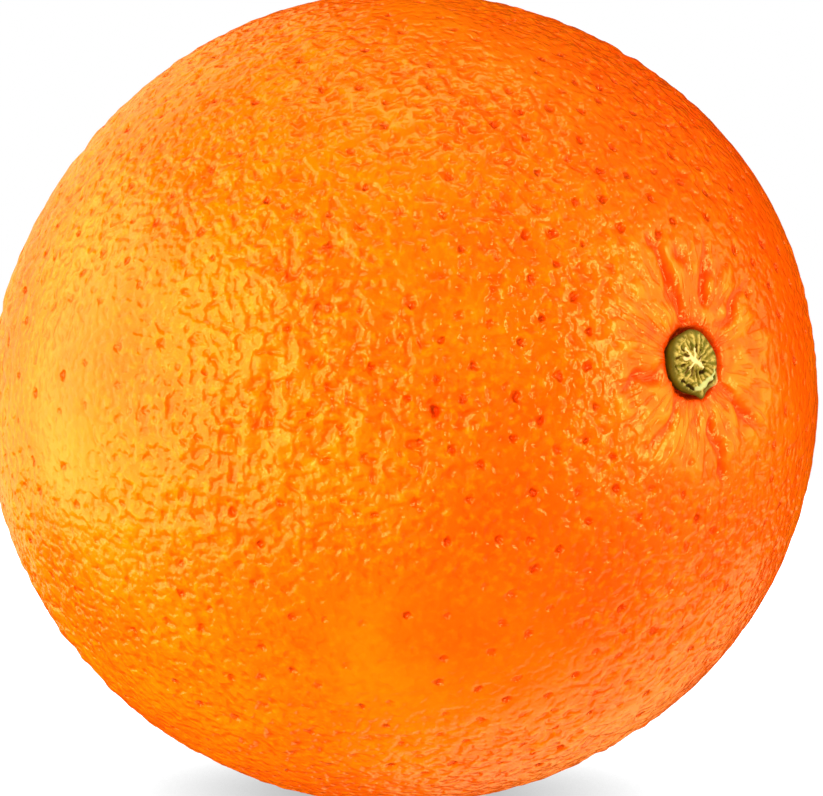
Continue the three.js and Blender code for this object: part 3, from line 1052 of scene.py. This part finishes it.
# %% Floor
FLOOR_RADIUS = 0.25
FLOOR_SEGMENTS = 96
SHADOW_REACH = 0.05
SHADOW_SAMPLES = 16
SHADOW_BRIGHTNESS = 0.45
FLOOR_BRIGHTNESS = 2.0
floor_mesh = bmesh.new()
bmesh.ops.create_circle(floor_mesh, cap_ends=True, segments=FLOOR_SEGMENTS, radius=FLOOR_RADIUS)
floor_data = bpy.data.meshes.new("floor")
floor_mesh.to_mesh(floor_data)
floor_mesh.free()
floor = bpy.data.objects.new("floor", floor_data)
bpy.context.scene.collection.objects.link(floor)
floor.visible_glossy = False
floor.visible_shadow = False
floor.visible_diffuse = False
floor_paint, tree = new_material("white_studio_floor")
openness = add_node(tree, "ShaderNodeAmbientOcclusion", {"samples": SHADOW_SAMPLES}, {
    "Distance": SHADOW_REACH,
}).outputs["AO"]
brightness = add_node(tree, "ShaderNodeMapRange", {}, {
    VALUE: openness, FROM_MIN: 0.0, FROM_MAX: 1.0, TO_MIN: SHADOW_BRIGHTNESS, TO_MAX: FLOOR_BRIGHTNESS,
}).outputs[0]
glowing = add_node(tree, "ShaderNodeEmission", {}, {"Strength": brightness})
add_node(tree, "ShaderNodeOutputMaterial", {}, {"Surface": glowing.outputs[0]})
floor.data.materials.append(floor_paint)
print("floor reaches", FLOOR_RADIUS, "m from the fruit")

# %% [markdown]
# ## Lamps
# Soft, slightly warm studio light. A large softbox at the left lights the fruit and gives the wax its
# broad pale sheen, and a weaker one stands on the same side behind the fruit. The boxes and strips that
# are for gloss alone put a band at the top, a band at the right and small sparks beside the pits. The
# fills are for matte light alone: they lift the front, top, right, back and underside with no sheen of
# their own. Each lamp is placed by its angle from the camera's line of sight.

# %% Lamps
LAMP_WARMTH = "FFDC90"
LAMPS = (  # name, degrees right of the camera, elevation, distance, width, height, brightness, use
    ("softbox_left", -76, 6, 0.50, 0.94, 0.66, 4.5, "both"),
    ("softbox_left_behind", -142, 14, 0.50, 0.46, 0.60, 1.3, "both"),
    ("softbox_right", 86, 8, 0.50, 0.50, 0.36, 2.2, "gloss"),
    ("softbox_top", 0, 94, 0.50, 0.44, 0.17, 5.4, "gloss"),
    ("strip_left", -42, 10, 0.50, 0.07, 0.30, 13.0, "gloss"),
    ("strip_right", 60, 12, 0.50, 0.09, 0.42, 16.0, "gloss"),
    ("fill_front", -6, 12, 0.7, 0.6, 0.6, 2.75, "matte"),
    ("fill_top", 20, 60, 0.7, 0.6, 0.6, 1.3, "matte"),
    ("fill_right", 90, 35, 0.7, 0.6, 0.6, 2.3, "matte"),
    ("fill_behind", 150, 40, 0.7, 0.6, 0.6, 1.8, "matte"),
    ("fill_low", 85, -25, 0.6, 0.5, 0.5, 2.5, "matte"),
)


def add_softbox(name, aside, elevation, distance, width, height, brightness, use):
    """A rectangular area light that faces the fruit; its brightness is its radiance."""
    lamp = bpy.data.lights.new(name, "AREA")
    lamp.shape = "RECTANGLE"
    lamp.size = width
    lamp.size_y = height
    lamp.color = linear(LAMP_WARMTH)[:3]
    lamp.energy = brightness * math.pi * width * height
    softbox = bpy.data.objects.new(name, lamp)
    bpy.context.scene.collection.objects.link(softbox)
    away = seen_from(CAMERA_AZIMUTH + math.radians(aside), math.radians(elevation))
    softbox.location = fruit_centre + away * distance
    softbox.rotation_mode = "QUATERNION"
    softbox.rotation_quaternion = (-away).to_track_quat("-Z", "Y")
    softbox.visible_glossy = use != "matte"
    softbox.visible_diffuse = use != "gloss"


for lamp in LAMPS:
    add_softbox(*lamp)
print(len(LAMPS), "lamps round the fruit")

# %% [markdown]
# ## World
# What the camera sees past the fruit is plain white. What the peel gathers as matte light is dim from
# above and brighter from below, as over a white table. What the wax mirrors is dark but for one soft
# round glow behind and below the fruit, to the right, which lies as a band along its lower edge.

# %% World
FILL_ABOVE = 0.25
FILL_BELOW = 1.1
FILL_TURNS_FROM = -0.25
DARK_GLOSS = 0.01
GLOW = 1.5
GLOW_EDGE = 0.85
GLOW_CORE = 0.93
GLOW_RIGHT = 0.44
GLOW_UP = -0.68
GLOW_BACK = -0.58
upright = back.cross(rightwards)
glow_way = (rightwards * GLOW_RIGHT + upright * GLOW_UP + back * GLOW_BACK).normalized()
world = bpy.data.worlds.new("studio")
bpy.context.scene.world = world
world.use_nodes = True
sky = world.node_tree
sky.nodes.clear()
ray = add_node(sky, "ShaderNodeLightPath", {}, {}).outputs
towards = add_node(sky, "ShaderNodeTexCoord", {}, {}).outputs["Generated"]
upwards = add_node(sky, "ShaderNodeSeparateXYZ", {}, {0: towards}).outputs["Z"]
matte_strength = add_node(sky, "ShaderNodeMapRange", {}, {
    VALUE: upwards, FROM_MIN: FILL_TURNS_FROM, FROM_MAX: 0.0, TO_MIN: FILL_BELOW, TO_MAX: FILL_ABOVE,
}).outputs[0]
near_glow = add_node(sky, "ShaderNodeVectorMath", {"operation": "DOT_PRODUCT"}, {
    0: towards, 1: glow_way,
}).outputs["Value"]
gloss_strength = add_node(sky, "ShaderNodeMapRange", SMOOTH, {
    VALUE: near_glow, FROM_MIN: GLOW_EDGE, FROM_MAX: GLOW_CORE, TO_MIN: DARK_GLOSS, TO_MAX: GLOW,
}).outputs[0]

# %% One background for each kind of ray
backgrounds = {
    use: add_node(sky, "ShaderNodeBackground", {}, {"Color": colour, "Strength": strength}).outputs[0]
    for use, colour, strength in (
        ("matte", linear(LAMP_WARMTH), matte_strength),
        ("gloss", linear(LAMP_WARMTH), gloss_strength),
        ("seen", (1, 1, 1, 1), 1.0),
    )
}
unseen = add_node(sky, "ShaderNodeMixShader", {}, {
    0: ray["Is Glossy Ray"], 1: backgrounds["matte"], 2: backgrounds["gloss"],
}).outputs[0]
studio = add_node(sky, "ShaderNodeMixShader", {}, {
    0: ray["Is Camera Ray"], 1: unseen, 2: backgrounds["seen"],
}).outputs[0]
add_node(sky, "ShaderNodeOutputWorld", {}, {"Surface": studio})
bpy.context.scene.view_settings.view_transform = "Standard"
print("world has", len(sky.nodes), "nodes")
